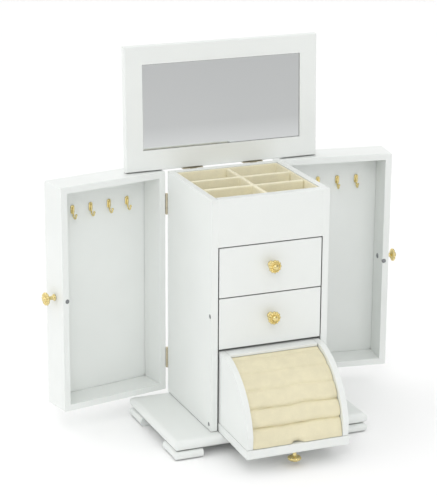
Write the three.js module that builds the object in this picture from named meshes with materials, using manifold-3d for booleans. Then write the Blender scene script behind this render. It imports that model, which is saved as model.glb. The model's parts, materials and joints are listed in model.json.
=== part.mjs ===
// Tower jewelry box: a narrow cabinet on a stepped base, with a lift-up mirror lid, two necklace doors that are
// shallow trays hinged at the back corners, two sliding drawers and a tip-out ring drawer.
// Millimetres, +Z up, front towards -Y. The box stands open: lid up, doors open, ring drawer tipped out.
import * as THREE from "three";
import { mergeVertices } from "three/addons/utils/BufferGeometryUtils.js";
import Module from "manifold-3d";

const wasm = await Module();
wasm.setup();

// ---------------------------------------------------------------- driving dimensions
const GAP = 0.3; // clearance between pieces that rest on each other
const EDGE = 0.5; // eased edge of a painted board

// base
const BASE_W = 265.4;
const BASE_D = 167;
const BASE_Y = 17.8; // centre of the base, front to back
const FOOT_H = 11.9;
const FOOT_LENGTH_X = 38;
const FOOT_LENGTH_Y = 44;
const FOOT_NOSE = 5.2; // rounding of the feet's outer edges
const BOARD_Z0 = FOOT_H + GAP;
const BASE_TOP = 25.7;
const BOARD_NOSE = 6.2;

// cabinet
const CAB_W = 158;
const CAB_FRONT = -51;
const CAB_BACK = 99.4;
const CAB_Z0 = BASE_TOP + GAP;
const CAB_TOP = 328.2;
const SIDE_T = 8.4;
const BACK_T = 8;
const INNER_X = CAB_W / 2 - SIDE_T;
const SEAM_TOP = 266.9; // seam between the tray's front panel and the upper drawer
const SEAM_MIDDLE = 201.1; // seam between the two drawers
const SEAM_LOW = 134; // seam between the lower drawer and the ring drawer
const SHELF_T = 5;
const SHELF_FRONT = -40.4; // the shelves stop behind the drawer fronts

// jewellery tray under the lid
const TRAY_FRONT_T = 10.5;
const LINER_T = 2;
const LINER_TOP = 327;
const DIVIDER_T = 5;
const DIVIDER_TOP = 326.6;

// sliding drawers
const SEAM = 1.6; // visible gap beside a drawer front
const FRONT_T = 10;
const DRAWER_W = 134;
const DRAWER_BACK = 86;
const DRAWER_WALL = 5;
const UPPER_KNOB_Z = 239;
const LOWER_KNOB_Z = 172;

// tip-out ring drawer, drawn shut and then turned about its pivot
const RING_FRONT_T = 11.2;
const PIVOT_Y = -43.4;
const PIVOT_Z = 34.2;
const TIP_ANGLE = 92;
const CHEEK_T = 7.8;
const CHEEK_X = 68.4;
const CHEEK_R = 99.8;
const CHEEK_FLAT = 97.6;
const CHEEK_FOOT = -6.8; // lower edge of the cheeks, measured from the pivot
const HEEL_R = 7.9; // rounding of the panel's lower edge about the pivot
const PIVOT_PIN_R = 1.8;
const PIVOT_HOLE_R = 2.05;
const PIVOT_HEAD_R = 2.6;
const PIVOT_HEAD_T = 0.9;
const PIVOT_HEAD_SUNK = 0.1; // the screw heads lie sunk in the side panels, clear of the shut doors
const RING_KNOB_FROM_PIVOT = 88;
const BACK_STRIP_T = 3.8; // board along the cheeks' back edge, above the cushion
const CUSHION_R = 94.5;
const CUSHION_CORE_R = 62;

// knobs
const KNOB_R = 8.8;
const KNOB_LENGTH = 17.6;

// doors
const HINGE_R = 2.1; // hinge axis behind the surface that its leaves lie on
const DOOR_SHUT_GAP = 0.8;
const DOOR_OPEN_LEFT = 78.8;
const DOOR_OPEN_RIGHT = 81.4;
const DOOR_W = 152.4;
const DOOR_DEPTH = 42.8;
const DOOR_Z0 = 29.4;
const DOOR_Z1 = 327.4;
const DOOR_WALL = 8.5;
const DOOR_PANEL_T = 4;
const DOOR_REBATE = 4;
const DOOR_KNOB_Z = 179;
const HOOK_T = [37, 64, 91, 117.5]; // distances of the hooks from the hinge axis
const HOOK_TOP = 291;
const MAGNET_R = 2.7;
const MAGNET_T = 148;
const MAGNET_Z = 178;

// hinges
const LEAF_L = 28;
const LEAF_W = 10;
const LEAF_T = 1;
const KNUCKLE_R = 1.8;
const PIN_R = 0.7;
const PIN_HOLE_R = 0.9;
const DOOR_HINGE_Z = [284, 74];
const LID_HINGE_X = 42;

// lid
const LID_W = 266;
const LID_L = 161.6;
const LID_T = 9.5;
const LID_ANGLE = 92;
const LID_AXIS_Y = CAB_BACK + 2.95;
const LID_AXIS_Z = CAB_TOP - 2.64;
const LID_SHUT_Z = CAB_TOP + 0.4;
const MIRROR_SIDE = 23.7;
const MIRROR_BOTTOM = 27;
const MIRROR_TOP = 23.9;
const MIRROR_POCKET = 4.6;
const MIRROR_RECESS = 1.5;

// ---------------------------------------------------------------- materials
const paint = () => new THREE.MeshStandardMaterial({ color: 0xf1f3f2, roughness: 0.45, metalness: 0 });
const velvet = () => new THREE.MeshStandardMaterial({ color: 0xefe2bd, roughness: 0.95, metalness: 0 });
const brass = () => new THREE.MeshStandardMaterial({ color: 0xd9ae45, roughness: 0.25, metalness: 1 });
const hingeBrass = () => new THREE.MeshStandardMaterial({ color: 0xa98c4e, roughness: 0.4, metalness: 1 });
const steel = () => new THREE.MeshStandardMaterial({ color: 0x8c8f90, roughness: 0.4, metalness: 1 });
const silvering = () => new THREE.MeshStandardMaterial({ color: 0xe6ebec, roughness: 0.05, metalness: 1 });

// ---------------------------------------------------------------- solids
const radians = (degrees) => (degrees * Math.PI) / 180;

/** A closed geometry as a manifold solid. */
function solid(geometry) {
  const bare = geometry.clone();
  bare.deleteAttribute("normal");
  bare.deleteAttribute("uv");
  const merged = mergeVertices(bare, 1e-4);
  const vertProperties = new Float32Array(merged.attributes.position.array);
  const triVerts = new Uint32Array(merged.index.array);
  return new wasm.Manifold(new wasm.Mesh({ numProp: 3, vertProperties, triVerts }));
}

/** A manifold solid as a geometry. */
function geometryOf(manifold) {
  const mesh = manifold.getMesh();
  const geometry = new THREE.BufferGeometry();
  geometry.setAttribute("position", new THREE.BufferAttribute(new Float32Array(mesh.vertProperties), 3));
  geometry.setIndex(new THREE.BufferAttribute(new Uint32Array(mesh.triVerts), 1));
  geometry.computeVertexNormals();
  return geometry;
}

/** The first geometry with the others cut away. */
function cut(geometry, ...tools) {
  return geometryOf(tools.reduce((body, tool) => body.subtract(solid(tool)), solid(geometry)));
}

/** All the geometries joined into one. */
function join(geometry, ...others) {
  return geometryOf(others.reduce((body, other) => body.add(solid(other)), solid(geometry)));
}

/** What two geometries share. */
function common(first, second) {
  return geometryOf(solid(first).intersect(solid(second)));
}

/** A plain box between two corners, given in any order. */
function box(x0, x1, y0, y1, z0, z1) {
  const geometry = new THREE.BoxGeometry(Math.abs(x1 - x0), Math.abs(y1 - y0), Math.abs(z1 - z0));
  geometry.translate((x0 + x1) / 2, (y0 + y1) / 2, (z0 + z1) / 2);
  return geometry;
}

/** An upright slab on a rectangle, with its top and bottom edges rounded by nose. */
function nosedSlab(width, depth, z0, z1, nose, segments) {
  const w = width / 2 - nose;
  const d = depth / 2 - nose;
  const plan = new THREE.Shape([
    new THREE.Vector2(-w, -d),
    new THREE.Vector2(w, -d),
    new THREE.Vector2(w, d),
    new THREE.Vector2(-w, d),
  ]);
  const geometry = new THREE.ExtrudeGeometry(plan, {
    depth: z1 - z0 - 2 * nose,
    bevelEnabled: true,
    bevelThickness: nose,
    bevelSize: nose,
    bevelSegments: segments,
  });
  geometry.translate(0, 0, z0 + nose);
  return geometry;
}

/** A board between two corners with every edge eased. */
function board(x0, x1, y0, y1, z0, z1, edge = EDGE) {
  const width = Math.abs(x1 - x0);
  const depth = Math.abs(y1 - y0);
  const geometry = nosedSlab(width, depth, Math.min(z0, z1), Math.max(z0, z1), edge, 1);
  geometry.translate((x0 + x1) / 2, (y0 + y1) / 2, 0);
  return geometry;
}

/** A cylinder of radius r between two points. */
function rod(from, to, r, sides = 16) {
  const start = new THREE.Vector3(...from);
  const end = new THREE.Vector3(...to);
  const along = new THREE.Vector3().subVectors(end, start);
  const geometry = new THREE.CylinderGeometry(r, r, along.length(), sides);
  const turn = new THREE.Quaternion().setFromUnitVectors(new THREE.Vector3(0, 1, 0), along.clone().normalize());
  geometry.applyQuaternion(turn);
  const middle = start.add(end).multiplyScalar(0.5);
  geometry.translate(middle.x, middle.y, middle.z);
  return geometry;
}

/** A profile in Y and Z extruded along X from x0 to x1. */
function sideProfile(points, x0, x1) {
  const shape = new THREE.Shape(points.map(([y, z]) => new THREE.Vector2(y, z)));
  const geometry = new THREE.ExtrudeGeometry(shape, { depth: x1 - x0, bevelEnabled: false });
  geometry.applyMatrix4(new THREE.Matrix4().set(0, 0, 1, x0, 1, 0, 0, 0, 0, 1, 0, 0, 0, 0, 0, 1));
  return geometry;
}

/** Points on an arc about the origin, in degrees. */
function arc(r, from, to, steps) {
  return Array.from({ length: steps + 1 }, (_, i) => {
    const angle = radians(from + ((to - from) * i) / steps);
    return [r * Math.cos(angle), r * Math.sin(angle)];
  });
}

/** A named mesh added to a group. */
function add(group, name, geometry, material) {
  const mesh = new THREE.Mesh(geometry, material);
  mesh.name = name;
  group.add(mesh);
  return mesh;
}

// ---------------------------------------------------------------- shared pieces
/** A turned knob that stands out along -Y from a face at y = 0: foot, waist and a wide round head. */
function knobGeometry() {
  const profile = [
    [0, 0],
    [4.4, 0],
    [4.4, 1.3],
    [2.8, 3.2],
    [2.5, 8.0],
    [4.0, 9.6],
    [8.2, 10.9],
    [KNOB_R, 12.6],
    [7.8, 14.4],
    [5.0, 15.4],
    [4.4, 16.8],
    [2.3, KNOB_LENGTH],
    [0, KNOB_LENGTH],
  ];
  const geometry = new THREE.LatheGeometry(profile.map(([r, h]) => new THREE.Vector2(r, h)), 20);
  geometry.rotateX(Math.PI);
  return geometry;
}

/** One leaf of a butt hinge lying on the plane y = 0 beside its axis, which runs along Z at y = HINGE_R.
 *  side is the leaf's side of the axis; outer says whether it carries the two end knuckles and the pin. */
function leafGeometry(side, outer, axisY = HINGE_R) {
  const third = LEAF_L / 3;
  const half = LEAF_L / 2;
  const y0 = GAP;
  const plate = box(side * 0.2, side * (LEAF_W + KNUCKLE_R), y0, y0 + LEAF_T, -half, half);
  const clear = KNUCKLE_R + GAP;
  const middle = [-third / 2 - GAP / 2, third / 2 + GAP / 2];
  const window = (z0, z1) => box(-clear, clear, -1, axisY + clear, z0, z1);
  if (outer) {
    const cutPlate = cut(plate, window(...middle));
    const low = rod([0, axisY, -half], [0, axisY, middle[0]], KNUCKLE_R);
    const high = rod([0, axisY, middle[1]], [0, axisY, half], KNUCKLE_R);
    const pin = rod([0, axisY, -half + 1], [0, axisY, half - 1], PIN_R, 12);
    return join(cutPlate, low, high, pin);
  }
  const ends = [third / 2 - GAP / 2, half + 1];
  const cutPlate = cut(plate, window(ends[0], ends[1]), window(-ends[1], -ends[0]));
  const knuckle = rod([0, axisY, -ends[0]], [0, axisY, ends[0]], KNUCKLE_R);
  const bore = rod([0, axisY, -half], [0, axisY, half], PIN_HOLE_R, 12);
  return cut(join(cutPlate, knuckle), bore);
}

/** A small necklace hook on a plate: the plate lies on the plane x = 0 and the hook reaches out along +X. */
function hookGeometry() {
  const plate = board(GAP, 1.5, -2.6, 2.6, -11.5, 0, 0.35);
  const path = new THREE.CatmullRomCurve3(
    [
      [1.7, 0, -4.5],
      [2.1, 0, -9.5],
      [3.2, 0, -14.6],
      [6.0, 0, -16.7],
      [9.0, 0, -15.0],
      [9.9, 0, -11.6],
    ].map((p) => new THREE.Vector3(...p))
  );
  const section = new THREE.Shape();
  section.absarc(0, 0, 1.1, 0, 2 * Math.PI, false);
  const wire = new THREE.ExtrudeGeometry(section, {
    steps: 10,
    curveSegments: 4,
    bevelEnabled: false,
    extrudePath: path,
  });
  const tip = new THREE.SphereGeometry(1.7, 8, 6);
  tip.translate(9.9, 0, -11.2);
  return join(plate, wire, tip);
}

// ---------------------------------------------------------------- base
function buildBase(root) {
  const slab = nosedSlab(BASE_W, BASE_D, BOARD_Z0, BASE_TOP, BOARD_NOSE, 5);
  slab.translate(0, BASE_Y, 0);
  add(root, "base_board", slab, paint());
  for (const [side, sideName] of [[-1, "left"], [1, "right"]]) {
    for (const [end, endName] of [[-1, "front"], [1, "back"]]) {
      const whole = nosedSlab(BASE_W, BASE_D, 0, FOOT_H, FOOT_NOSE, 4);
      const cornerX = (side * BASE_W) / 2;
      const cornerY = (end * BASE_D) / 2;
      const corner = box(
        cornerX - side * FOOT_LENGTH_X,
        cornerX + side,
        cornerY - end * FOOT_LENGTH_Y,
        cornerY + end,
        -1,
        FOOT_H + 1
      );
      const foot = common(whole, corner);
      foot.translate(0, BASE_Y, 0);
      add(root, `foot_${endName}_${sideName}`, foot, paint());
    }
  }
}

// ---------------------------------------------------------------- cabinet
function buildCabinet(root) {
  for (const [side, sideName] of [[-1, "left"], [1, "right"]]) {
    const outer = (side * CAB_W) / 2;
    const magnetY = CAB_FRONT + 5.4;
    const panel = board(side * INNER_X, outer, CAB_FRONT, CAB_BACK, CAB_Z0, CAB_TOP);
    const pivotHole = rod([side * 60, PIVOT_Y, PIVOT_Z], [side * 90, PIVOT_Y, PIVOT_Z], PIVOT_HOLE_R);
    const headInner = PIVOT_HEAD_SUNK + PIVOT_HEAD_T + GAP;
    const headSeat = rod(
      [outer - side * headInner, PIVOT_Y, PIVOT_Z],
      [outer + side, PIVOT_Y, PIVOT_Z],
      PIVOT_HEAD_R + GAP
    );
    const socket = rod([outer - side * 3, magnetY, MAGNET_Z], [outer + side, magnetY, MAGNET_Z], MAGNET_R + GAP);
    add(root, `${sideName}_side_panel`, cut(panel, pivotHole, headSeat, socket), paint());
    const magnet = rod([outer - side * 2.7, magnetY, MAGNET_Z], [outer - side * 0.1, magnetY, MAGNET_Z], MAGNET_R);
    add(root, `${sideName}_side_magnet`, magnet, steel());
  }
  const inside = INNER_X - GAP;
  const backInside = CAB_BACK - BACK_T;
  add(root, "back_panel", board(-inside, inside, backInside, CAB_BACK, CAB_Z0, CAB_TOP), paint());
  const frontPanel = board(-inside, inside, CAB_FRONT, CAB_FRONT + TRAY_FRONT_T, SEAM_TOP + GAP, CAB_TOP, 0.2);
  add(root, "top_front_panel", frontPanel, paint());
  const shelfBack = backInside - GAP;
  const shelves = { tray_floor: SEAM_TOP - SHELF_T, upper_drawer_shelf: SEAM_MIDDLE - 2.5, lower_drawer_shelf: SEAM_LOW + 0.9 };
  for (const [name, z] of Object.entries(shelves)) {
    add(root, name, board(-inside, inside, SHELF_FRONT, shelfBack, z, z + SHELF_T, 0.3), paint());
  }
  for (const side of [-1, 1]) {
    const headOuter = CAB_W / 2 - PIVOT_HEAD_SUNK;
    const headInner = headOuter - PIVOT_HEAD_T;
    const head = rod([side * headInner, PIVOT_Y, PIVOT_Z], [side * headOuter, PIVOT_Y, PIVOT_Z], PIVOT_HEAD_R);
    const shankEnd = headOuter - PIVOT_HEAD_T / 2;
    const shank = rod([side * (CHEEK_X - 6), PIVOT_Y, PIVOT_Z], [side * shankEnd, PIVOT_Y, PIVOT_Z], PIVOT_PIN_R);
    add(root, side < 0 ? "left_pivot_screw" : "right_pivot_screw", join(shank, head), steel());
  }
}

function buildTray(root) {
  const outerX = INNER_X - GAP;
  const front = CAB_FRONT + TRAY_FRONT_T + GAP;
  const back = CAB_BACK - BACK_T - GAP;
  const floorZ = SEAM_TOP + GAP;
  const shell = board(-outerX, outerX, front, back, floorZ, LINER_TOP, 0.6);
  const hollow = box(-outerX + LINER_T, outerX - LINER_T, front + LINER_T, back - LINER_T, floorZ + LINER_T, LINER_TOP + 1);
  add(root, "tray_liner", cut(shell, hollow), velvet());
  const x = outerX - LINER_T - GAP;
  const y0 = front + LINER_T + GAP;
  const y1 = back - LINER_T - GAP;
  const z0 = floorZ + LINER_T + GAP;
  const long = board(-DIVIDER_T / 2, DIVIDER_T / 2, y0, y1, z0, DIVIDER_TOP, 0.6);
  const crosses = [1, 2].map((i) => {
    const y = y0 + ((y1 - y0) * i) / 3;
    return board(-x, x, y - DIVIDER_T / 2, y + DIVIDER_T / 2, z0, DIVIDER_TOP, 0.6);
  });
  add(root, "tray_dividers", join(long, ...crosses), velvet());
}

// ---------------------------------------------------------------- sliding drawers
function buildDrawer(root, name, z0, z1, shelfTop, boxTop, knobZ) {
  const half = INNER_X - SEAM;
  const back = CAB_FRONT + FRONT_T;
  const front = board(-half, half, CAB_FRONT, back, z0, z1);
  const screwHole = rod([0, CAB_FRONT - 1, knobZ], [0, back + 1, knobZ], 2);
  add(root, `${name}_drawer_front`, cut(front, screwHole), paint());
  const y0 = back + GAP;
  const floor = shelfTop + 0.6;
  const shell = board(-DRAWER_W / 2, DRAWER_W / 2, y0, DRAWER_BACK, floor, boxTop, 0.4);
  const hollow = box(
    -DRAWER_W / 2 + DRAWER_WALL,
    DRAWER_W / 2 - DRAWER_WALL,
    y0 + DRAWER_WALL,
    DRAWER_BACK - DRAWER_WALL,
    floor + 4,
    boxTop + 1
  );
  add(root, `${name}_drawer_box`, cut(shell, hollow), paint());
  const knob = add(root, `${name}_drawer_knob`, knobGeometry(), brass());
  knob.position.set(0, CAB_FRONT - GAP, knobZ);
}

// ---------------------------------------------------------------- ring drawer
/** Outline of a cheek about the pivot, shut: a quarter disc with its two ends cut flat. */
function cheekOutline(front) {
  const corner = (Math.acos(CHEEK_FLAT / CHEEK_R) * 180) / Math.PI;
  const rim = arc(CHEEK_R, corner, 90 - corner, 20);
  return [[front, CHEEK_FOOT], [CHEEK_FLAT, CHEEK_FOOT], ...rim, [front, CHEEK_FLAT]];
}

function buildRingDrawer(root) {
  const pivot = new THREE.Group();
  pivot.position.set(0, PIVOT_Y, PIVOT_Z);
  pivot.rotation.x = radians(TIP_ANGLE);
  root.add(pivot);
  const outerY = CAB_FRONT - PIVOT_Y;
  const innerY = outerY + RING_FRONT_T;
  const top = SEAM_LOW - 0.6 - PIVOT_Z;
  const half = INNER_X - SEAM;
  const heelStart = (Math.acos(outerY / HEEL_R) * 180) / Math.PI;
  const heel = arc(HEEL_R, -heelStart, -90, 7);
  const profile = [[innerY, top], [outerY, top], ...heel, [innerY, -HEEL_R]];
  const screwHole = rod([0, outerY - 1, RING_KNOB_FROM_PIVOT], [0, innerY + 1, RING_KNOB_FROM_PIVOT], 2);
  const pinHoles = [-1, 1].map((side) => rod([side * (half - 9), 0, 0], [side * (half + 1), 0, 0], PIVOT_HOLE_R));
  add(pivot, "ring_drawer_front", cut(sideProfile(profile, -half, half), screwHole, ...pinHoles), paint());
  for (const [side, sideName] of [[-1, "left"], [1, "right"]]) {
    const faces = [side * CHEEK_X, side * (CHEEK_X - CHEEK_T)].sort((a, b) => a - b);
    const cheek = sideProfile(cheekOutline(innerY + GAP), ...faces);
    add(pivot, `ring_drawer_${sideName}_cheek`, cheek, paint());
  }
  const inside = CHEEK_X - CHEEK_T - GAP;
  const stripEnd = 18;
  add(pivot, "ring_drawer_back_board", board(-inside, inside, CHEEK_FLAT - BACK_STRIP_T, CHEEK_FLAT, CHEEK_FOOT, stripEnd), paint());
  const start = 12.4;
  const endAt = (r) => (Math.acos((innerY + 0.5) / r) * 180) / Math.PI;
  const rollFace = arc(CUSHION_R, start, endAt(CUSHION_R), 18);
  const core = arc(CUSHION_CORE_R, endAt(CUSHION_CORE_R), start, 8);
  const outline = [...rollFace, ...core];
  add(pivot, "ring_cushion", sideProfile(outline, -inside, inside), velvet());
  const knob = add(pivot, "ring_drawer_knob", knobGeometry(), brass());
  knob.position.set(0, outerY - GAP, RING_KNOB_FROM_PIVOT);
}

// ---------------------------------------------------------------- doors
/** A door drawn shut about its hinge axis and then swung open. side is -1 on the left and 1 on the right. */
function buildDoor(root, side, sideName, openAngle) {
  const axisX = (side * (CAB_W + DOOR_SHUT_GAP)) / 2;
  const axisY = CAB_BACK + HINGE_R;
  const door = new THREE.Group();
  door.position.set(axisX, axisY, 0);
  door.rotation.z = radians(side * openAngle);
  root.add(door);

  const rim = DOOR_SHUT_GAP / 2;
  const x = (depth) => side * (rim + depth);
  const hingeY = -HINGE_R;
  const freeY = hingeY - DOOR_W;
  const inner = [hingeY - DOOR_WALL, freeY + DOOR_WALL, DOOR_Z0 + DOOR_WALL, DOOR_Z1 - DOOR_WALL];
  const panelDepth = DOOR_DEPTH - DOOR_PANEL_T - GAP;
  const magnetY = -MAGNET_T;
  const shell = board(x(0), x(DOOR_DEPTH), hingeY, freeY, DOOR_Z0, DOOR_Z1, 0.7);
  const hollow = box(x(-1), x(DOOR_DEPTH + 1), inner[0], inner[1], inner[2], inner[3]);
  const rebate = box(
    x(panelDepth - GAP),
    x(DOOR_DEPTH + 1),
    inner[0] + DOOR_REBATE,
    inner[1] - DOOR_REBATE,
    inner[2] - DOOR_REBATE,
    inner[3] + DOOR_REBATE
  );
  const knobX = x(DOOR_DEPTH / 2);
  const screwHole = rod([knobX, freeY - 1, DOOR_KNOB_Z], [knobX, freeY + DOOR_WALL + 1, DOOR_KNOB_Z], 2);
  const socket = rod([x(-1), magnetY, MAGNET_Z], [x(2.8), magnetY, MAGNET_Z], MAGNET_R + GAP);
  add(door, `${sideName}_door_frame`, cut(shell, hollow, rebate, screwHole, socket), paint());

  const margin = DOOR_REBATE - GAP;
  const panel = board(
    x(panelDepth),
    x(DOOR_DEPTH - 0.2),
    inner[0] + margin,
    inner[1] - margin,
    inner[2] - margin,
    inner[3] + margin,
    0.3
  );
  add(door, `${sideName}_door_panel`, panel, paint());
  add(door, `${sideName}_door_magnet`, rod([x(0.1), magnetY, MAGNET_Z], [x(2.5), magnetY, MAGNET_Z], MAGNET_R), steel());
  const knob = add(door, `${sideName}_door_knob`, knobGeometry(), brass());
  knob.position.set(knobX, freeY - GAP, DOOR_KNOB_Z);
  HOOK_T.forEach((t, i) => {
    const hook = add(door, `${sideName}_door_hook_${i + 1}`, hookGeometry(), brass());
    hook.position.set(x(panelDepth), -t, HOOK_TOP);
    hook.rotation.z = side > 0 ? Math.PI : 0;
  });
  DOOR_HINGE_Z.forEach((z, i) => {
    const name = i === 0 ? "upper" : "lower";
    const moving = leafGeometry(side, false);
    moving.translate(0, -HINGE_R, z);
    add(door, `${sideName}_door_${name}_hinge_leaf`, moving, hingeBrass());
    const fixed = leafGeometry(-side, true);
    fixed.translate(axisX, CAB_BACK, z);
    add(root, `${sideName}_side_${name}_hinge_leaf`, fixed, hingeBrass());
  });
}

// ---------------------------------------------------------------- lid
/** The lid is drawn shut about its hinge axis and then raised. */
function buildLid(root) {
  const lid = new THREE.Group();
  lid.position.set(0, LID_AXIS_Y, LID_AXIS_Z);
  lid.rotation.x = radians(-LID_ANGLE);
  root.add(lid);
  const backY = CAB_BACK - LID_AXIS_Y;
  const frontY = backY - LID_L;
  const z0 = LID_SHUT_Z - LID_AXIS_Z;
  const panel = board(-LID_W / 2, LID_W / 2, frontY, backY, z0, z0 + LID_T, 1);
  const w = LID_W / 2 - MIRROR_SIDE;
  const y0 = frontY + MIRROR_TOP;
  const y1 = backY - MIRROR_BOTTOM;
  const pocket = box(-w, w, y0, y1, z0 - 1, z0 + MIRROR_POCKET);
  add(lid, "lid_board", cut(panel, pocket), paint());
  const top = z0 + MIRROR_POCKET - GAP;
  add(lid, "mirror_glass", board(-w + GAP, w - GAP, y0 + GAP, y1 - GAP, z0 + MIRROR_RECESS, top, 0.4), silvering());
  const axisOff = LID_AXIS_Y - CAB_BACK;
  for (const [sign, sideName] of [[-1, "left"], [1, "right"]]) {
    const moving = leafGeometry(1, false, axisOff);
    moving.rotateY(-Math.PI / 2);
    moving.translate(sign * LID_HINGE_X, -axisOff, 0);
    add(lid, `lid_${sideName}_hinge_leaf`, moving, hingeBrass());
    const fixed = leafGeometry(-1, true, axisOff);
    fixed.rotateY(-Math.PI / 2);
    fixed.translate(sign * LID_HINGE_X, CAB_BACK, LID_AXIS_Z);
    add(root, `back_${sideName}_hinge_leaf`, fixed, hingeBrass());
  }
}

// ---------------------------------------------------------------- assembly
const jewelryBox = new THREE.Group();
buildBase(jewelryBox);
buildCabinet(jewelryBox);
buildTray(jewelryBox);
buildDrawer(jewelryBox, "upper", SEAM_MIDDLE + 0.7, SEAM_TOP - 1.1, SEAM_MIDDLE + 2.5, 254, UPPER_KNOB_Z);
buildDrawer(jewelryBox, "lower", SEAM_LOW + 0.6, SEAM_MIDDLE - 0.6, SEAM_LOW + 0.9 + SHELF_T, 190, LOWER_KNOB_Z);
buildRingDrawer(jewelryBox);
buildDoor(jewelryBox, -1, "left", DOOR_OPEN_LEFT);
buildDoor(jewelryBox, 1, "right", DOOR_OPEN_RIGHT);
buildLid(jewelryBox);

export default jewelryBox;
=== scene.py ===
"""Looks of a tower jewelry box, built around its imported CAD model. Metres, +Z up, front towards -Y."""

import json
import math

import bmesh
import bpy
from mathutils import Matrix, Vector, noise

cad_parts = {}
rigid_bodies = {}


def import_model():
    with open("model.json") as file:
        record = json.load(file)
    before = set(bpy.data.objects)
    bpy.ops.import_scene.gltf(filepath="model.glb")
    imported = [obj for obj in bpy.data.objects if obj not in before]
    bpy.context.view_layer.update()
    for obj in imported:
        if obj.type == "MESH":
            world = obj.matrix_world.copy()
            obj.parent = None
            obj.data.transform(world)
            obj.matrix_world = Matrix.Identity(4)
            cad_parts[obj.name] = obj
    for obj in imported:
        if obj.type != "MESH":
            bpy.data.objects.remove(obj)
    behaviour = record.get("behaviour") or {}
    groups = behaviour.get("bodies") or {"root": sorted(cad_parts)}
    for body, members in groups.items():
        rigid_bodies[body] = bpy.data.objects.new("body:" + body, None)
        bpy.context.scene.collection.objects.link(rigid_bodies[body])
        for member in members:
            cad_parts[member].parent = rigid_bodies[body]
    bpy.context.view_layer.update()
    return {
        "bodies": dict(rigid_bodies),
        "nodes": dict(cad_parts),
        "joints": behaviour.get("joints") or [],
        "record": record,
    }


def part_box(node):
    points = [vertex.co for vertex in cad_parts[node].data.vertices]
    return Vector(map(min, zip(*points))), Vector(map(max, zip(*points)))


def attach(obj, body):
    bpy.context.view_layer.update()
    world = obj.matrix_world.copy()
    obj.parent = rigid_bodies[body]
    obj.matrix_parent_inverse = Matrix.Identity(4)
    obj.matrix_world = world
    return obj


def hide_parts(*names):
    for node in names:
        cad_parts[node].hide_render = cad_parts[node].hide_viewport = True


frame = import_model()

MM = 0.001

# ---------------------------------------------------------------- camera
CAMERA_AT = Vector((-0.9375, -2.1388, 0.9679))
CAMERA_AIM = Vector((0.0408, 0.2167, 0.1783))
CAMERA_ROLL = math.radians(0.36)
FOCAL_PIXELS = 1938.2
FRAME_HEIGHT = 495
SENSOR = 36.0

# ---------------------------------------------------------------- colours (linear)
WHITE_PAINT = (0.805, 0.828, 0.808)
CUSHION_VELVET = (0.815, 0.755, 0.540)
TRAY_VELVET = (0.900, 0.850, 0.650)
VELVET_SHEEN = (1.0, 0.95, 0.84, 1.0)
POLISHED_BRASS = (0.82, 0.68, 0.32)
HINGE_BRASS = (0.62, 0.56, 0.41)
STEEL = (0.30, 0.31, 0.32)
MIRROR_TINT = (0.78, 0.80, 0.80)
FLOOR_NEAR = 1.0
FLOOR_FAR = 0.62
FLOOR_FADE = (-1.15, -1.95)  # the floor darkens in front of the box between these Y values
# painted shade darkens the paint's colour in seams narrower than about SEAM_REACH
SEAM_REACH = 0.006  # seams narrower than about this look dark

# ---------------------------------------------------------------- light
SKY_STRENGTH = 1.17
# how bright the sky is from full left (0) to full right (1); the dark bands give the brass its contrast
SKY_BY_SIDE = [
    (0.0, 1.16),
    (0.10, 1.16),
    (0.16, 0.5),
    (0.20, 0.5),
    (0.26, 1.15),
    (0.5, 1.0),
    (0.80, 0.95),
    (0.86, 0.3),
    (0.93, 0.3),
    (0.98, 0.7),
    (1.0, 0.7),
]
# small dark cards: which way they lie, and the cosine of their edge; only polished metal shows them
SKY_CARDS = [
    ((-0.52, -0.83, 0.20), 0.970),
    ((0.45, -0.80, 0.40), 0.972),
    ((-0.10, -0.70, 0.71), 0.975),
]
CARD_VALUE = 0.08
CARD_SOFTNESS = 0.01
KEY_AT = (-0.9, -2.0, 1.9)
KEY_AIM = (0, 0, 0.2)
KEY_SIZE = 1.4
KEY_POWER = 12
FLOOR_HALF = 6

# ---------------------------------------------------------------- shapes, in millimetres
PAINT_BEVEL = 0.35
HINGE_BEVEL = 0.12
SHARP_ANGLE = 32  # CAD edges steeper than this stay sharp
CORNER_STEPS = 6

KNOB_PETALS = 12
KNOB_BEADS = 20
KNOB_SEGMENTS = 120
# radius, height, petal swell outwards, petal lift, bead lift
KNOB_PROFILE = [
    (4.2, 0.0, 0, 0, 0),
    (4.45, 0.4, 0, 0, 0),
    (4.45, 1.0, 0, 0, 0),
    (4.0, 1.6, 0, 0, 0),
    (3.1, 2.3, 0, 0, 0),
    (2.65, 3.4, 0, 0, 0),
    (2.45, 5.2, 0, 0, 0),
    (2.45, 7.3, 0, 0, 0),
    (2.9, 8.4, 0, 0, 0),
    (4.2, 9.3, 0.05, 0, 0),
    (6.2, 10.1, 0.20, 0, 0),
    (7.7, 11.0, 0.42, 0, 0),
    (8.25, 12.0, 0.50, 0, 0),
    (8.1, 13.1, 0.48, 0.15, 0),
    (7.5, 14.0, 0.32, 0.45, 0),
    (6.8, 14.5, 0.10, 0.60, 0),
    (6.2, 14.3, 0, 0.40, 0),
    (5.7, 13.8, 0, 0, 0.10),
    (5.2, 14.2, 0, 0, 0.30),
    (4.7, 14.3, 0, 0, 0.30),
    (4.3, 14.1, 0, 0, 0.05),
    (4.1, 14.8, 0, 0, 0),
    (3.9, 15.6, 0, 0, 0),
    (3.3, 16.5, 0, 0, 0),
    (2.2, 17.2, 0, 0, 0),
    (0.9, 17.5, 0, 0, 0),
]
KNOB_SCREW_R = 3.6
KNOB_SCREW_H = 1.0
WASHER_T = 0.6

HOOK_WIRE_R = 1.1
HOOK_BALL_R = 1.65
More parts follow.
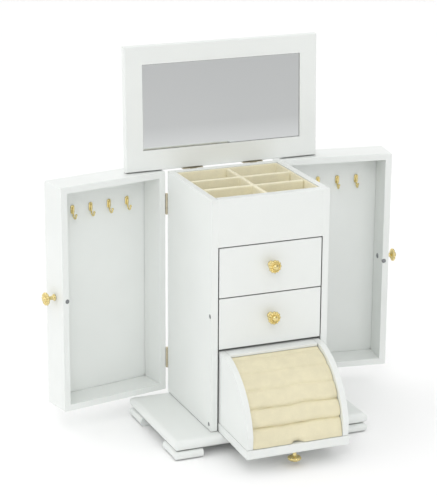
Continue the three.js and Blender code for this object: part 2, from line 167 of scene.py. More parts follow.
# out from the door's panel, across and up from the plate's top edge
HOOK_PATH = [
    (1.7, 0, -3.6),
    (2.0, 0, -9.0),
    (3.2, 0, -14.4),
    (6.0, 0, -16.6),
    (9.0, 0, -15.0),
    (9.9, 0, -11.6),
]
HOOK_PLATE_W = 5.2
HOOK_PLATE_L = 11.5
HOOK_PLATE_CORNER = 2.3
HOOK_PLATE_EDGE = [(0.5, 0), (0, 0.3), (0, 0.9), (0.45, 1.25)]  # inset, height
HOOK_SCREW_R = 1.25
HOOK_SCREW_H = 0.5

# radius, height above the face
MAGNET_PROFILE = [
    (2.6, -2.2),
    (2.7, -0.2),
    (2.55, 0),
    (2.0, 0),
    (1.9, -0.35),
    (1.5, -0.35),
    (1.4, 0),
    (1.2, 0.05),
    (0.3, 0.05),
]
PIVOT_SHANK_R = 1.75
PIVOT_HEAD_R = 2.6
PIVOT_HEAD_H = 0.9
PIVOT_HEAD_SUNK = 0.35

LEAF_T = 1
LEAF_SCREW_R = 1.7
LEAF_SCREW_H = 0.5
LEAF_SCREW_SPREAD = 8.5
LEAF_KNUCKLE = 1.6  # how far the leaf's flat part lies from the middle of the whole leaf

PIECE_GAP = 0.3  # clearance that the CAD leaves between pieces
DOOR_WALL = 8.5

# creases between the rolls, in degrees round the pivot from the back board, and how deep each one is
CUSHION_CREASES = [(0.5, 0.3), (15, 0.22), (29.5, 0.30), (44, 0.42), (58.5, 0.85), (73, 1.0), (87.4, 0.0)]
CUSHION_START = 11.0
CUSHION_UNDER_BOARD = 2  # degrees that the velvet runs on under the back board
CUSHION_CREST_R = 96.0
CUSHION_CORE_R = 64
CUSHION_CREASE_DEPTH = 5.6
CUSHION_WANDER = 1.3  # degrees that a crease strays from a straight line
CUSHION_LIP = 76  # degrees at which the last roll begins to bulge over the lip
CUSHION_LIP_BULGE = 1.8
CUSHION_END_DROP = 1.8
CUSHION_FACE_GAP = 0.5
CUSHION_SIDE_PRESS = 0.2  # how far the velvet presses past its CAD solid towards each cheek
CUSHION_NOTCH_W = 8.5  # half width of the dip that the knob's screw presses into the last roll
CUSHION_NOTCH_DEPTH = 6.5
CUSHION_NOTCH_START = 82
CUSHION_STATIONS = 72
CUSHION_STEPS = 200
CUSHION_CORE_STEPS = 14
BOARD_R = (58.5, 61.5)
BOARD_STEPS = 24
BOARD_EDGE = 0.4
BOARD_EDGE_INSET = 0.3

JOINT_BEAD_R = 0.8
JOINT_BEAD_DEEP = 0.78
JOINT_BEAD_EDGE = 0.3

LINER_T = 2
LINING_T = 1.6
LINING_INSET = 5.2
LINING_LIFT = 4.2
LINING_DROP = 1.5
TUB_CORNER = 1.2
DIVIDER_VOXEL = 0.9


# ---------------------------------------------------------------- materials
def new_material(name):
    """An empty node material with its Principled shader and output."""
    material = bpy.data.materials.new(name)
    material.use_nodes = True
    tree = material.node_tree
    tree.nodes.clear()
    output = tree.nodes.new("ShaderNodeOutputMaterial")
    shader = tree.nodes.new("ShaderNodeBsdfPrincipled")
    tree.links.new(shader.outputs["BSDF"], output.inputs["Surface"])
    return material, tree, shader


def noise_value(tree, scale, detail, roughness=0.55):
    """Noise from 0 to 1 on object coordinates; scale is in features per metre."""
    coordinates = tree.nodes.new("ShaderNodeTexCoord")
    texture = tree.nodes.new("ShaderNodeTexNoise")
    texture.inputs["Scale"].default_value = scale
    texture.inputs["Detail"].default_value = detail
    texture.inputs["Roughness"].default_value = roughness
    tree.links.new(coordinates.outputs["Object"], texture.inputs["Vector"])
    return texture.outputs["Fac"]


def remap(tree, value, low, high, start=0.3, end=0.7):
    """A value from start to end mapped onto low to high."""
    node = tree.nodes.new("ShaderNodeMapRange")
    node.inputs["From Min"].default_value = start
    node.inputs["From Max"].default_value = end
    node.inputs["To Min"].default_value = low
    node.inputs["To Max"].default_value = high
    tree.links.new(value, node.inputs["Value"])
    return node.outputs["Result"]


def tinted(tree, colour, factors):
    """A colour multiplied by each of the factors in turn."""
    current = None
    for factor in factors:
        mix = tree.nodes.new("ShaderNodeVectorMath")
        mix.operation = "SCALE"
        if current is None:
            mix.inputs[0].default_value = colour
        else:
            tree.links.new(current, mix.inputs[0])
        tree.links.new(factor, mix.inputs["Scale"])
        current = mix.outputs["Vector"]
    return current


def bump(tree, shader, heights, distance):
    """Stacks bump nodes, one for each (height, strength), on the shader's normal."""
    normal = None
    for height, strength in heights:
        node = tree.nodes.new("ShaderNodeBump")
        node.inputs["Strength"].default_value = strength
        node.inputs["Distance"].default_value = distance
        tree.links.new(height, node.inputs["Height"])
        if normal is not None:
            tree.links.new(normal, node.inputs["Normal"])
        normal = node.outputs["Normal"]
    tree.links.new(normal, shader.inputs["Normal"])


def painted_seam_shade(tree):
    """Painted shade: darkens the colour in narrow seams, by how enclosed they are; open corners keep their
    colour.
    """
    occlusion = tree.nodes.new("ShaderNodeAmbientOcclusion")
    occlusion.samples = 6
    occlusion.inputs["Distance"].default_value = SEAM_REACH
    return remap(tree, occlusion.outputs["AO"], 0.25, 1.0, 0.12, 0.42)


def paint_material():
    """Sprayed satin paint on fibreboard: nearly smooth, with a faint orange peel, a slight unevenness, and
    painted shade darkening its narrow seams.
    """
    material, tree, shader = new_material("white_satin_paint")
    cloud = noise_value(tree, 14, 2)
    peel = noise_value(tree, 520, 2)
    wave = noise_value(tree, 55, 3)
    specks = noise_value(tree, 1900, 1)
    colour = tinted(tree, WHITE_PAINT, [
        remap(tree, cloud, 0.985, 1.012),
        remap(tree, specks, 0.99, 1.0),
        # painted shade in narrow seams, from ambient occlusion
        painted_seam_shade(tree),
    ])
    tree.links.new(colour, shader.inputs["Base Color"])
    tree.links.new(remap(tree, wave, 0.36, 0.48), shader.inputs["Roughness"])
    shader.inputs["Coat Weight"].default_value = 0.12
    shader.inputs["Coat Roughness"].default_value = 0.25
    bump(tree, shader, [(wave, 0.12), (peel, 0.16)], 0.0004)
    return material


def velvet_material(name, tint):
    """Short cream velvet: a fine pile that catches light at its edges, in soft patches."""
    material, tree, shader = new_material(name)
    pile = noise_value(tree, 2600, 2, 0.7)
    nap = noise_value(tree, 70, 4)
    drift = noise_value(tree, 16, 2)
    colour = tinted(tree, tint, [
        remap(tree, pile, 0.90, 1.06),
        remap(tree, nap, 0.955, 1.03),
        remap(tree, drift, 0.975, 1.02),
    ])
    tree.links.new(colour, shader.inputs["Base Color"])
    shader.inputs["Roughness"].default_value = 0.92
    shader.inputs["Specular IOR Level"].default_value = 0.25
    shader.inputs["Sheen Weight"].default_value = 0.35
    shader.inputs["Sheen Roughness"].default_value = 0.38
    shader.inputs["Sheen Tint"].default_value = VELVET_SHEEN
    bump(tree, shader, [(nap, 0.35), (pile, 0.55)], 0.0006)
    return material


def metal_material(name, colour, rough_low, rough_high):
    """Metal with a slightly uneven polish and fine tarnish."""
    material, tree, shader = new_material(name)
    smudge = noise_value(tree, 160, 4)
    fine = noise_value(tree, 900, 3)
    tint = tinted(tree, colour, [
        remap(tree, smudge, 0.86, 1.04),
        remap(tree, fine, 0.93, 1.03),
    ])
    tree.links.new(tint, shader.inputs["Base Color"])
    tree.links.new(remap(tree, smudge, rough_low, rough_high), shader.inputs["Roughness"])
    shader.inputs["Metallic"].default_value = 1.0
    bump(tree, shader, [(fine, 0.08)], 0.0003)
    return material


def mirror_material():
    """Silvered glass: an almost perfect reflector, with the faintest haze."""
    material, tree, shader = new_material("silvered_mirror")
    haze = noise_value(tree, 9, 2)
    tint = tinted(tree, MIRROR_TINT, [remap(tree, haze, 0.985, 1.0)])
    tree.links.new(tint, shader.inputs["Base Color"])
    tree.links.new(remap(tree, haze, 0.006, 0.02), shader.inputs["Roughness"])
    shader.inputs["Metallic"].default_value = 1.0
    shader.inputs["Coat Weight"].default_value = 0.5
    shader.inputs["Coat Roughness"].default_value = 0.01
    return material


def floor_material():
    """Matt pale studio floor; it darkens well in front of the box, which gives the mirror its tone."""
    material, tree, shader = new_material("studio_floor")
    cloud = noise_value(tree, 1.5, 2)
    spot = tree.nodes.new("ShaderNodeTexCoord")
    parts = tree.nodes.new("ShaderNodeSeparateXYZ")
    tree.links.new(spot.outputs["Object"], parts.inputs["Vector"])
    fade = remap(tree, parts.outputs["Y"], FLOOR_NEAR, FLOOR_FAR, *FLOOR_FADE)
    colour = tinted(tree, (1, 1, 1), [fade, remap(tree, cloud, 0.995, 1.0)])
    tree.links.new(colour, shader.inputs["Base Color"])
    shader.inputs["Roughness"].default_value = 0.9
    shader.inputs["Specular IOR Level"].default_value = 0.1
    return material


# ---------------------------------------------------------------- places
class Place:
    """A body's own coordinates: the joint shut, and the joint's axis through the origin."""

    def __init__(self, body, joint=None):
        self.body = body
        self.to_row = Matrix.Identity(4)
        if joint is not None:
            shut = max(joint["range_deg"], key=abs)
            turn = Matrix.Rotation(math.radians(-shut), 4, Vector(joint["axis"]))
            self.to_row = Matrix.Translation(Vector(joint["pos_m"])) @ turn

    def box(self, node):
        """Lowest and highest corner of a CAD node in this place's coordinates, in millimetres."""
        back = self.to_row.inverted()
        points = [back @ v.co for v in frame["nodes"][node].data.vertices]
        low = Vector(min(p[i] for p in points) for i in range(3))
        high = Vector(max(p[i] for p in points) for i in range(3))
        return low / MM, high / MM


def place_of(body):
    """The place of a body, about its hinge where it has one."""
    for joint in frame["joints"]:
        if joint["child"] == body and joint["type"] == "hinge":
            return Place(body, joint)
    return Place(body)


# ---------------------------------------------------------------- mesh helpers
def piece(name, bm, place, material, replaces=(), smooth_angle=35):
    """Turns a bmesh, in the place's millimetres, into a finished piece that rides on its body."""
    bmesh.ops.remove_doubles(bm, verts=bm.verts, dist=1e-4)
    bmesh.ops.recalc_face_normals(bm, faces=bm.faces)
    mesh = bpy.data.meshes.new(name)
    bm.to_mesh(mesh)
    bm.free()
    mesh.transform(Matrix.Scale(MM, 4))
    mesh.transform(place.to_row)
    mesh.materials.append(material)
    mesh.polygons.foreach_set("use_smooth", [True] * len(mesh.polygons))
    mesh.set_sharp_from_angle(angle=math.radians(smooth_angle))
    made = bpy.data.objects.new(name, mesh)
    bpy.context.scene.collection.objects.link(made)
    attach(made, place.body)
    if replaces:
        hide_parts(*replaces)
    return made


def loft(bm, rings):
    """A closed skin through rings of points, with a cap at each end."""
    made = [[bm.verts.new(p) for p in ring] for ring in rings]
    for first, second in zip(made, made[1:]):
        count = len(first)
        for i in range(count):
            j = (i + 1) % count
            bm.faces.new((first[i], first[j], second[j], second[i]))
    bm.faces.new(list(reversed(made[0])))
    bm.faces.new(made[-1])


def turns(count):
    """The angles of evenly spaced points round a circle."""
    return [2 * math.pi * k / count for k in range(count)]


def spline(points, steps):
    """Points along a Catmull-Rom curve through the given ones."""
    pts = [Vector(p) for p in points]
    pts = [2 * pts[0] - pts[1], *pts, 2 * pts[-1] - pts[-2]]
    out = []
    for a, b, c, d in zip(pts, pts[1:], pts[2:], pts[3:]):
        linear = c - a
        square = 2 * a - 5 * b + 4 * c - d
        cube = 3 * b - a - 3 * c + d
        for i in range(steps):
            t = i / steps
            out.append(0.5 * (2 * b + linear * t + square * t**2 + cube * t**3))
    out.append(pts[-2])
    return out


def tube(bm, path, radius, sides=16):
    """A round wire along a path that lies in the XZ plane."""
    across = Vector((0, 1, 0))
    rings = []
    for i, point in enumerate(path):
        ahead = path[min(i + 1, len(path) - 1)]
        behind = path[max(i - 1, 0)]
        up = (ahead - behind).normalized().cross(across)
        ring = [point + radius * (math.cos(a) * across + math.sin(a) * up) for a in turns(sides)]
        rings.append(ring)
    loft(bm, rings)


def lathe_along_x(bm, profile, centre, segments):
    """A turned solid with its axis along X: profile is (radius, height) from one end to the other."""
    rings = []
    for r, h in profile:
        ring = [Vector((h, r * math.cos(a), r * math.sin(a))) for a in turns(segments)]
        rings.append([Vector(centre) + p for p in ring])
    loft(bm, rings)


def rounded_rectangle(half_x, half_y, r, z):
    """A ring of points round a rectangle with rounded corners, at height z."""
    r = max(r, 0.01)
    ring = []
    for sx, sy, start in ((1, 1, 0), (-1, 1, 90), (-1, -1, 180), (1, -1, 270)):
        for i in range(CORNER_STEPS + 1):
            a = math.radians(start + 90 * i / CORNER_STEPS)
            x = sx * (half_x - r) + r * math.cos(a)
            y = sy * (half_y - r) + r * math.sin(a)
            ring.append(Vector((x, y, z)))
    return ring


def screw_head(bm, centre, out, radius, height):
    """A domed cross-head screw head on a surface at centre, facing along out."""
    facing = Vector(out).normalized().to_track_quat("Z", "Y").to_matrix()
    dome_rings = 9
    arm_half_width = radius * 0.13
    arm_length = radius * 0.55
    skirt_depth = 0.25
    circle = turns(40)
    rings = [[(radius * math.cos(a), radius * math.sin(a), -skirt_depth) for a in circle]]
    for i in range(dome_rings + 1):
        r = radius * (1 - i / (dome_rings + 0.5))
        ring = []
        for a in circle:
            x, y = r * math.cos(a), r * math.sin(a)
            z = height * (1 - (r / radius) ** 2) ** 0.5
            in_arm = abs(x) < arm_half_width or abs(y) < arm_half_width
            if in_arm and max(abs(x), abs(y)) < arm_length:
                z = height * 0.35
            ring.append((x, y, z))
        rings.append(ring)
    loft(bm, [[Vector(centre) + facing @ Vector(p) for p in ring] for ring in rings])


def apply_modifiers(made):
    """Turns an object's modifiers into its mesh."""
    depsgraph = bpy.context.evaluated_depsgraph_get()
    mesh = bpy.data.meshes.new_from_object(made.evaluated_get(depsgraph))
    made.modifiers.clear()
    made.data = mesh


# ---------------------------------------------------------------- CAD nodes
def shade_by_angle_group(angle):
    """A geometry-node modifier group that shades smooth except across sharp edges."""
    group = bpy.data.node_groups.new("shade_by_angle", "GeometryNodeTree")
    group.interface.new_socket("Geometry", in_out="INPUT", socket_type="NodeSocketGeometry")
    group.interface.new_socket("Geometry", in_out="OUTPUT", socket_type="NodeSocketGeometry")
    nodes, links = group.nodes, group.links
    start = nodes.new("NodeGroupInput")
    end = nodes.new("NodeGroupOutput")
    faces = nodes.new("GeometryNodeSetShadeSmooth")
    faces.domain = "FACE"
    edges = nodes.new("GeometryNodeSetShadeSmooth")
    edges.domain = "EDGE"
    edge_angle = nodes.new("GeometryNodeInputMeshEdgeAngle")
    less = nodes.new("FunctionNodeCompare")
    less.operation = "LESS_EQUAL"
    less.inputs["B"].default_value = angle
    links.new(start.outputs[0], faces.inputs["Geometry"])
    links.new(faces.outputs[0], edges.inputs["Geometry"])
    links.new(edge_angle.outputs["Unsigned Angle"], less.inputs["A"])
    links.new(less.outputs["Result"], edges.inputs["Shade Smooth"])
    links.new(edges.outputs[0], end.inputs[0])
    return group


def finish_cad_node(node, material, bevel_mm, shading_group):
    """Gives a CAD node its material, softer edges and smooth shading on its curves."""
    made = frame["nodes"][node]
    made.data.materials.clear()
    made.data.materials.append(material)
    if bevel_mm:
        bevel = made.modifiers.new("softer_edges", "BEVEL")
        bevel.width = bevel_mm * MM
        bevel.segments = 2
        bevel.limit_method = "ANGLE"
        bevel.angle_limit = math.radians(35)
    shading = made.modifiers.new("shade_by_angle", "NODES")
    shading.node_group = shading_group


def finish_cad_nodes():
    """Finishes every CAD node by its material slot."""
    looks = {
        "white_paint": (paint, PAINT_BEVEL),
        "velvet": (velvet, 0),
        "polished_brass": (brass, 0),
        "hinge_brass": (hinge_metal, HINGE_BEVEL),
        "steel": (steel, 0),
        "mirror": (mirror, 0),
    }
    shading_group = shade_by_angle_group(math.radians(SHARP_ANGLE))
    for entry in frame["record"]["subparts"]:
        material, bevel_mm = looks[entry["material_slot"]]
        finish_cad_node(entry["node"], material, bevel_mm, shading_group)


# ---------------------------------------------------------------- knobs and their screws
def build_knob(name, place):
    """A cast rosette knob: turned foot and waist, and a lobed head with a beaded face round a button."""
    low, high = place.box(name)
    centre = Vector(((low.x + high.x) / 2, high.y, (low.z + high.z) / 2))
    rings = []
    for r, h, swell, lift, bead_lift in KNOB_PROFILE:
        ring = []
        for a in turns(KNOB_SEGMENTS):
            petal = abs(math.cos(KNOB_PETALS * a / 2)) * 2 - 1
            bead = abs(math.cos(KNOB_BEADS * a / 2)) * 2 - 1
            radius = r + swell * petal
            height = h + lift * petal + bead_lift * bead
            ring.append(centre + Vector((radius * math.cos(a), -height, radius * math.sin(a))))
        rings.append(ring)
    bm = bmesh.new()
    loft(bm, rings)
    piece(f"{name}_rosette", bm, place, brass, replaces=[name], smooth_angle=50)


def build_knob_screw(name, place, point):
    """The dark screw head and washer behind a knob, facing the inside."""
    inwards = Vector((0, 1, 0))
    bm = bmesh.new()
    screw_head(bm, Vector(point) + inwards * 0.5, inwards, KNOB_SCREW_R * 0.78, KNOB_SCREW_H)
    washer = bmesh.ops.create_cone(
        bm,
        cap_ends=True,
        segments=40,
        radius1=KNOB_SCREW_R,
        radius2=KNOB_SCREW_R * 0.94,
        depth=WASHER_T,
    )
    turn = inwards.to_track_quat("Z", "Y").to_matrix().to_4x4()
    bmesh.ops.transform(bm, matrix=turn, verts=washer["verts"])
    bmesh.ops.translate(bm, verts=washer["verts"], vec=Vector(point) + inwards * 0.32)
    piece(name, bm, place, steel)


# ---------------------------------------------------------------- doors and cabinet sides
def build_hook(name, place, side):
    """A necklace hook: a small plate held by two screws and a wire that curls up to a ball."""
    low, high = place.box(name)
    face = high.x if side > 0 else low.x
    half_w, half_l = HOOK_PLATE_W / 2, HOOK_PLATE_L / 2
    plate = []
    for inset, depth in HOOK_PLATE_EDGE:
        ring = rounded_rectangle(half_w - inset, half_l - inset, HOOK_PLATE_CORNER - inset, 0)
        plate.append([Vector((depth, p.x, p.y - half_l)) for p in ring])
    bm = bmesh.new()
    loft(bm, plate)
    path = spline(HOOK_PATH, 6)
    tube(bm, path, HOOK_WIRE_R)
    ball = bmesh.ops.create_uvsphere(bm, u_segments=20, v_segments=12, radius=HOOK_BALL_R)
    bmesh.ops.translate(bm, verts=ball["verts"], vec=path[-1] + Vector((0, 0, 0.3)))
    for z in (-1.9, -HOOK_PLATE_L + 1.7):
        screw_head(bm, (1.2, 0, z), (1, 0, 0), HOOK_SCREW_R, HOOK_SCREW_H)
    bmesh.ops.scale(bm, verts=bm.verts, vec=(-side, 1, 1))
    bmesh.ops.translate(bm, verts=bm.verts, vec=(face, (low.y + high.y) / 2, high.z))
    piece(f"{name}_curl", bm, place, brass, replaces=[name])


def build_magnet(name, place, facing):
    """A round catch magnet that faces along X: a steel cup with a bright pole piece inside a dark ring."""
    low, high = place.box(name)
    face = high.x if facing > 0 else low.x
    centre = Vector((face, (low.y + high.y) / 2, (low.z + high.z) / 2))
    bm = bmesh.new()
    lathe_along_x(bm, [(r, h * facing) for r, h in MAGNET_PROFILE], centre, 40)
    piece(f"{name}_cup", bm, place, steel, replaces=[name])


def build_pivot_screw(name, place, side):
    """The screw the ring drawer turns on: a plain shank and a domed cross-head."""
    low, high = place.box(name)
    y, z = (low.y + high.y) / 2, (low.z + high.z) / 2
    inner, outer = (low.x, high.x) if side > 0 else (high.x, low.x)
    bm = bmesh.new()
    lathe_along_x(bm, [(PIVOT_SHANK_R, 0), (PIVOT_SHANK_R, outer - inner)], (inner, y, z), 32)
    screw_head(bm, (outer - side * PIVOT_HEAD_SUNK, y, z), (side, 0, 0), PIVOT_HEAD_R, PIVOT_HEAD_H)
    piece(f"{name}_head", bm, place, steel, replaces=[name])


def build_side(side, side_name):
    """The fittings of one door and of the cabinet side that it shuts on."""
    door = places[f"{side_name}_door"]
    cabinet = places["cabinet"]
    for i in range(1, 5):
        build_hook(f"{side_name}_door_hook_{i}", door, side)
    build_magnet(f"{side_name}_door_magnet", door, -side)
    build_magnet(f"{side_name}_side_magnet", cabinet, side)
    build_pivot_screw(f"{side_name}_pivot_screw", cabinet, side)
    low, high = door.box(f"{side_name}_door_knob")
    behind = ((low.x + high.x) / 2, high.y + PIECE_GAP + DOOR_WALL, (low.z + high.z) / 2)
    build_knob_screw(f"{side_name}_door_knob_screw", door, behind)


# ---------------------------------------------------------------- ring drawer
def cushion_radius(x, angle):
    """How far the velvet lies from the pivot: flattened rolls with wandering creases between them."""
    wander = noise.noise(Vector((x * 0.030, angle * 0.02, 4.2))) * CUSHION_WANDER
    shifted = angle + wander * math.sin(math.radians(min(max((angle - 12) * 2.4, 0), 180)))
    for (low, low_depth), (high, high_depth) in zip(CUSHION_CREASES, CUSHION_CREASES[1:]):
        if shifted <= high:
            break
    u = min(max((shifted - low) / (high - low), 0), 1)
    depth = low_depth + (high_depth - low_depth) * u
    closeness = abs(2 * u - 1)
    uneven = 1 + 0.35 * noise.noise(Vector((x * 0.045, low * 0.7, 1.3)))
    dip = depth * uneven * CUSHION_CREASE_DEPTH * (0.45 * closeness**2 + 0.55 * closeness**7)
    wrinkle = noise.noise(Vector((x * 0.055, angle * 0.09, 3.1))) * 0.50
    wrinkle += noise.noise(Vector((x * 0.21, angle * 0.30, 9.7))) * 0.20
    bulge = CUSHION_LIP_BULGE * min(max((angle - CUSHION_LIP) / 8, 0), 1) ** 2
    return CUSHION_CREST_R - dip + wrinkle + bulge


def build_cushion_rolls(place, half_x, panel_face, board_face):
    """Velvet ring rolls packed side by side on an arc between the cheeks, as one closed surface."""
    end = math.degrees(math.acos(panel_face / (CUSHION_CREST_R - 1)))
    start = CUSHION_START - CUSHION_UNDER_BOARD
    top = [start + (end - start) * i / CUSHION_STEPS for i in range(CUSHION_STEPS + 1)]
    core = [end + (start - end) * i / CUSHION_CORE_STEPS for i in range(CUSHION_CORE_STEPS + 1)]
    rings = []
    for s in range(CUSHION_STATIONS + 1):
        t = math.sin((-1 + 2 * s / CUSHION_STATIONS) * math.pi / 2)
        x = half_x * t
        edge = 1 - (1 - min(abs(t), 1) ** 24) ** 0.5
        notch = max(0, 1 - (abs(x) / CUSHION_NOTCH_W) ** 2)
        ring = []
        for angle in top:
            a = math.radians(angle)
            near_panel = max(0, (angle - CUSHION_NOTCH_START) / (end - CUSHION_NOTCH_START))
            r = cushion_radius(x, angle) - edge * CUSHION_END_DROP
            r -= notch * near_panel**2 * CUSHION_NOTCH_DEPTH
            furthest = board_face if angle < CUSHION_START else math.inf
            y = min(max(r * math.cos(a), panel_face), furthest)
            ring.append(Vector((x, y, r * math.sin(a))))
        for angle in core:
            a = math.radians(angle)
            y = max(CUSHION_CORE_R * math.cos(a), panel_face)
            ring.append(Vector((x, y, CUSHION_CORE_R * math.sin(a))))
        rings.append(ring)
    bm = bmesh.new()
    loft(bm, rings)
    name = "ring_cushion_rolls"
    made = piece(name, bm, place, velvet, replaces=["ring_cushion"], smooth_angle=80)


def build_cushion_board(place, half_x, panel_face):
    """The thin curved board that the rolls are glued to, with eased ends."""
    rings = []
    for x in (-half_x, -half_x + BOARD_EDGE, half_x - BOARD_EDGE, half_x):
        inset = BOARD_EDGE_INSET if abs(x) == half_x else 0
        inner_r, outer_r = BOARD_R[0] + inset, BOARD_R[1] - inset
        start = CUSHION_START + 1
        stop = math.degrees(math.acos(panel_face / outer_r))
        arc = [math.radians(start + (stop - start) * i / BOARD_STEPS) for i in range(BOARD_STEPS + 1)]
        ring = [Vector((x, outer_r * math.cos(a), outer_r * math.sin(a))) for a in arc]
        for a in reversed(arc):
            ring.append(Vector((x, max(panel_face, inner_r * math.cos(a)), inner_r * math.sin(a))))
        rings.append(ring)
    bm = bmesh.new()
    loft(bm, rings)
    piece("ring_cushion_board", bm, place, paint)


def build_ring_drawer():
    """The cushion, its board and the knob's screw end, all about the ring drawer's pivot."""
    place = places["ring_drawer"]
    low, high = place.box("ring_cushion")
    panel_inner = place.box("ring_drawer_front")[1].y
    board_face = place.box("ring_drawer_back_board")[0].y - PIECE_GAP
    half_x = (high.x - low.x) / 2 + CUSHION_SIDE_PRESS
    panel_face = panel_inner + CUSHION_FACE_GAP
    build_cushion_rolls(place, half_x, panel_face, board_face)
    build_cushion_board(place, half_x, panel_face)
    knob_low, knob_high = place.box("ring_drawer_knob")
    build_knob_screw("ring_drawer_knob_screw", place, (0, panel_inner, (knob_low.z + knob_high.z) / 2))


# ---------------------------------------------------------------- cabinet front and hinges
def build_painted_joint(name, place, x, y, z0, z1):
    """A bead of filler and paint that hides the upright joint between two boards of the front."""
    edge = JOINT_BEAD_EDGE
    rings = []
    for inset, z in ((edge, z0), (0, z0 + edge), (0, z1 - edge), (edge, z1)):
        ring = rounded_rectangle(JOINT_BEAD_R - inset, JOINT_BEAD_R - inset, 0.25, z)
        rings.append([p + Vector((x, y + JOINT_BEAD_DEEP, 0)) for p in ring])
    bm = bmesh.new()
    loft(bm, rings)
    piece(name, bm, place, paint, smooth_angle=60)


def build_front_joints():
    """The painted-over joints on both sides of the tray's front panel."""
    low, high = (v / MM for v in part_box("top_front_panel"))
    cabinet = places["cabinet"]
    z0, z1 = low.z + 0.2, high.z - 0.2
    build_painted_joint("left_front_joint", cabinet, low.x - PIECE_GAP / 2, low.y, z0, z1)
    build_painted_joint("right_front_joint", cabinet, high.x + PIECE_GAP / 2, low.y, z0, z1)


def leaf_flat_side(node):
    """Which way, in X and Z, the flat part lies from the middle of a leaf: away from its knuckles."""
    if "lid" in node:
        return 0, LEAF_KNUCKLE
    if node.startswith("back"):
        return 0, -LEAF_KNUCKLE
    right = node.startswith("right")
    on_door = "door" in node
    return (LEAF_KNUCKLE if right == on_door else -LEAF_KNUCKLE), 0


def build_hinge_screws():
    """Two screw heads on the flat part of each hinge leaf."""
    bodies = frame["record"]["behaviour"]["bodies"]
    body_of = {node: body for body, nodes in bodies.items() for node in nodes}
    nodes = [entry["node"] for entry in frame["record"]["subparts"]]
    for node in nodes:
        if not node.endswith("_hinge_leaf"):
            continue
        place = places[body_of[node]]
        low, high = place.box(node)
        middle = (low + high) / 2
        wide = high.x - low.x > high.z - low.z
        flat_x, flat_z = leaf_flat_side(node)
        bm = bmesh.new()
        for spread in (-LEAF_SCREW_SPREAD, LEAF_SCREW_SPREAD):
            along_x, along_z = (spread, 0) if wide else (0, spread)
            centre = (middle.x + along_x + flat_x, low.y + LEAF_T, middle.z + along_z + flat_z)
            screw_head(bm, centre, (0, 1, 0), LEAF_SCREW_R, LEAF_SCREW_H)
        piece(f"{node}_screws", bm, place, hinge_metal)


# ---------------------------------------------------------------- tray and drawer linings
def build_tub(name, place, low, high, thickness, replaces=()):
    """A velvet-covered open tub between two corners, in millimetres, with soft edges."""
    half_x, half_y = (high.x - low.x) / 2, (high.y - low.y) / 2
    centre = Vector(((high.x + low.x) / 2, (high.y + low.y) / 2, 0))
    soft = thickness * 0.45
    shoulder = high.z - soft * 1.2
    brow = high.z - soft * 0.3
    floor = low.z + thickness
    # inset and height, up the outside and then from the rim down the inside
    outside = [(1.2, low.z), (0.3, low.z + 0.3), (0, low.z + 1.2)]
    outside += [(0, shoulder), (soft * 0.3, brow), (soft, high.z)]
    inside = [(-soft, high.z), (-soft * 0.3, brow), (0, shoulder)]
    inside += [(0, floor + 1.4), (0.4, floor + 0.4), (1.4, floor)]
    rings = []
    for wall, corner, steps in ((0, TUB_CORNER, outside), (thickness, TUB_CORNER * 0.8, inside)):
        for inset, z in steps:
            ring = rounded_rectangle(half_x - wall - inset, half_y - wall - inset, corner, z)
            rings.append([p + centre for p in ring])
    bm = bmesh.new()
    loft(bm, rings)
    piece(name, bm, place, tray_velvet, replaces=replaces, smooth_angle=60)


def build_tray_dividers(place):
    """Card dividers wrapped in velvet, glued where they cross: rounded tops and soft inner corners."""
    bm = bmesh.new()
    bm.from_mesh(frame["nodes"]["tray_dividers"].data)
    bmesh.ops.scale(bm, verts=bm.verts, vec=(1 / MM,) * 3)
    name = "tray_dividers_wrapped"
    made = piece(name, bm, place, tray_velvet, replaces=["tray_dividers"], smooth_angle=60)
    remesh = made.modifiers.new("wrap", "REMESH")
    remesh.mode = "VOXEL"
    remesh.voxel_size = DIVIDER_VOXEL * MM
    remesh.use_smooth_shade = True
    smooth = made.modifiers.new("soften", "SMOOTH")
    smooth.factor = 0.5
    smooth.iterations = 4
    apply_modifiers(made)


def build_tray():
    """The lined and divided tray under the lid."""
    low, high = (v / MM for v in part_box("tray_liner"))
    build_tub("tray_liner_velvet", places["cabinet"], low, high, LINER_T, ["tray_liner"])
    build_tray_dividers(places["cabinet"])


def build_drawer_lining(drawer):
    """The velvet lining of a sliding drawer, inside its box."""
    low, high = (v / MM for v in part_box(f"{drawer}_box"))
    inner_low = low + Vector((LINING_INSET, LINING_INSET, LINING_LIFT))
    inner_high = high - Vector((LINING_INSET, LINING_INSET, LINING_DROP))
    build_tub(f"{drawer}_lining", places[drawer], inner_low, inner_high, LINING_T)


# ---------------------------------------------------------------- stage, light and camera
def build_floor():
    """A plain pale floor under the box."""
    bm = bmesh.new()
    bmesh.ops.create_grid(bm, x_segments=4, y_segments=4, size=FLOOR_HALF)
    mesh = bpy.data.meshes.new("floor")
    bm.to_mesh(mesh)
    bm.free()
    mesh.materials.append(floor_material())
    floor = bpy.data.objects.new("floor", mesh)
    bpy.context.scene.collection.objects.link(floor)


def dark_card(tree, direction, light, card, edge):
    """The sky's light with one small dark card in front of it."""
    nearness = tree.nodes.new("ShaderNodeVectorMath")
    nearness.operation = "DOT_PRODUCT"
    nearness.inputs[1].default_value = Vector(card).normalized()
    tree.links.new(direction, nearness.inputs[0])
    shade = tree.nodes.new("ShaderNodeVectorMath")
    shade.operation = "SCALE"
    tree.links.new(light, shade.inputs[0])
    value = remap(tree, nearness.outputs["Value"], 1, CARD_VALUE, edge, edge + CARD_SOFTNESS)
    tree.links.new(value, shade.inputs["Scale"])
    return shade.outputs["Vector"]


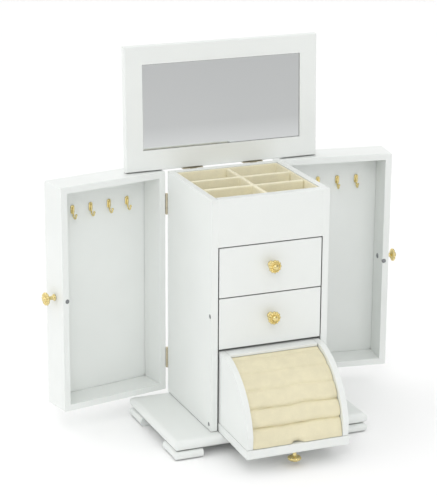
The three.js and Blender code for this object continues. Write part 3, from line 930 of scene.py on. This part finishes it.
def build_sky():
    """A soft white studio, a little brighter on the left, with dark strips and cards for the brass."""
    world = bpy.data.worlds.new("studio")
    bpy.context.scene.world = world
    world.use_nodes = True
    tree = world.node_tree
    background = tree.nodes["Background"]
    background.inputs["Strength"].default_value = SKY_STRENGTH
    direction = tree.nodes.new("ShaderNodeTexCoord").outputs["Generated"]
    parts = tree.nodes.new("ShaderNodeSeparateXYZ")
    tree.links.new(direction, parts.inputs["Vector"])
    sideways = remap(tree, parts.outputs["X"], 0, 1, -1, 1)
    ramp = tree.nodes.new("ShaderNodeValToRGB")
    for position, _ in SKY_BY_SIDE[1:-1]:
        ramp.color_ramp.elements.new(position)
    for element, (position, value) in zip(ramp.color_ramp.elements, SKY_BY_SIDE):
        element.position = position
        element.color = (value, value, value, 1)
    tree.links.new(sideways, ramp.inputs["Fac"])
    light = ramp.outputs["Color"]
    for card, edge in SKY_CARDS:
        light = dark_card(tree, direction, light, card, edge)
    tree.links.new(light, background.inputs["Color"])


def build_key_light():
    """One large soft light, high in front and to the left."""
    data = bpy.data.lights.new("key", "AREA")
    data.shape = "DISK"
    data.size = KEY_SIZE
    data.energy = KEY_POWER
    light = bpy.data.objects.new("key", data)
    light.location = KEY_AT
    light.rotation_euler = (Vector(KEY_AIM) - Vector(KEY_AT)).to_track_quat("-Z", "Y").to_euler()
    bpy.context.scene.collection.objects.link(light)


def build_camera():
    """The camera, turned to its aim with a slight roll."""
    data = bpy.data.cameras.new("camera")
    data.sensor_fit = "AUTO"
    data.sensor_width = SENSOR
    data.lens = FOCAL_PIXELS * SENSOR / FRAME_HEIGHT
    data.clip_start = 0.05
    data.clip_end = 50
    camera = bpy.data.objects.new("camera", data)
    bpy.context.scene.collection.objects.link(camera)
    back = (CAMERA_AT - CAMERA_AIM).normalized()
    right = Vector((0, 0, 1)).cross(back).normalized()
    up = back.cross(right)
    turned_right = right * math.cos(CAMERA_ROLL) + up * math.sin(CAMERA_ROLL)
    turned_up = up * math.cos(CAMERA_ROLL) - right * math.sin(CAMERA_ROLL)
    rotation = Matrix((turned_right, turned_up, back)).transposed().to_4x4()
    camera.matrix_world = Matrix.Translation(CAMERA_AT) @ rotation
    bpy.context.scene.camera = camera


# ---------------------------------------------------------------- the box
bpy.context.scene.view_settings.view_transform = "Standard"

paint = paint_material()
velvet = velvet_material("cushion_velvet", CUSHION_VELVET)
tray_velvet = velvet_material("tray_velvet", TRAY_VELVET)
brass = metal_material("polished_brass", POLISHED_BRASS, 0.07, 0.16)
hinge_metal = metal_material("hinge_brass", HINGE_BRASS, 0.30, 0.42)
steel = metal_material("dark_steel", STEEL, 0.28, 0.4)
mirror = mirror_material()
places = {body: place_of(body) for body in frame["bodies"]}

build_camera()
build_floor()
build_sky()
build_key_light()

finish_cad_nodes()
for carrier in ("upper_drawer", "lower_drawer", "ring_drawer", "left_door", "right_door"):
    build_knob(f"{carrier}_knob", places[carrier])
build_side(-1, "left")
build_side(1, "right")
build_ring_drawer()
build_front_joints()
build_hinge_screws()
build_tray()
build_drawer_lining("upper_drawer")
build_drawer_lining("lower_drawer")
